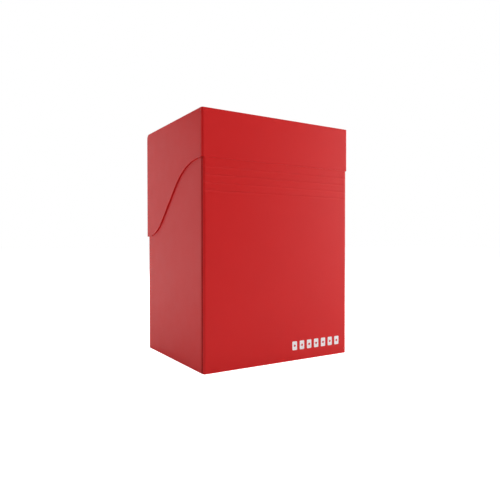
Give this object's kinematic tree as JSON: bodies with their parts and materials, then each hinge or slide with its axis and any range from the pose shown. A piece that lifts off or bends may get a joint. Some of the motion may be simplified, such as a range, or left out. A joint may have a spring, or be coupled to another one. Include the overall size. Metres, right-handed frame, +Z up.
{
  "type": "card deck box",
  "caption": "Tall folded plastic box for a deck of sleeved trading cards, with a living-hinge lid whose side flaps are cut to an S curve.",
  "frame": {"origin": "centre of the footprint, on the surface that the box stands on", "axes": "+X to the right seen from the front, +Y from the front face to the back, +Z up; the box faces -Y"},
  "size_m": [0.0724, 0.0578, 0.1],
  "materials": {
    "body_sheet": "fine matte emboss on polypropylene sheet, through-coloured red",
    "collar_sheet": "same red sheet, slightly thinner, inside of the box",
    "lid_sheet": "fine matte emboss on polypropylene sheet, through-coloured red",
    "weld": "melted and re-set sheet, smoother and darker than the rest",
    "ink": "opaque white screen print"
  },
  "bodies": {
    "box": {"front_panel": "body_sheet", "left_wall": "body_sheet", "right_wall": "body_sheet", "back_wall": "body_sheet", "side_seam_flap": "body_sheet", "bottom_panel": "body_sheet", "bottom_tuck_tab": "body_sheet", "left_dust_flap": "body_sheet", "right_dust_flap": "body_sheet", "collar_front": "collar_sheet", "collar_left_flap": "collar_sheet", "collar_right_flap": "collar_sheet", "back_strap": "lid_sheet", "strap_welds": "weld", "printed_mark": "ink"},
    "lid": {"hinge_web": "lid_sheet", "lid_top": "lid_sheet", "lid_front_flap": "lid_sheet", "lid_left_flap": "lid_sheet", "lid_right_flap": "lid_sheet", "lid_front_tab": "lid_sheet", "lid_left_tab": "lid_sheet", "lid_right_tab": "lid_sheet"}
  },
  "joints": [
    {"name": "lid_hinge", "type": "hinge", "parent": "box", "child": "lid", "pos_m": [0, 0.0289, 0.10005], "axis": [-1, 0, 0], "range_deg": [0, 265], "deforming": ["hinge_web"]}
  ]
}
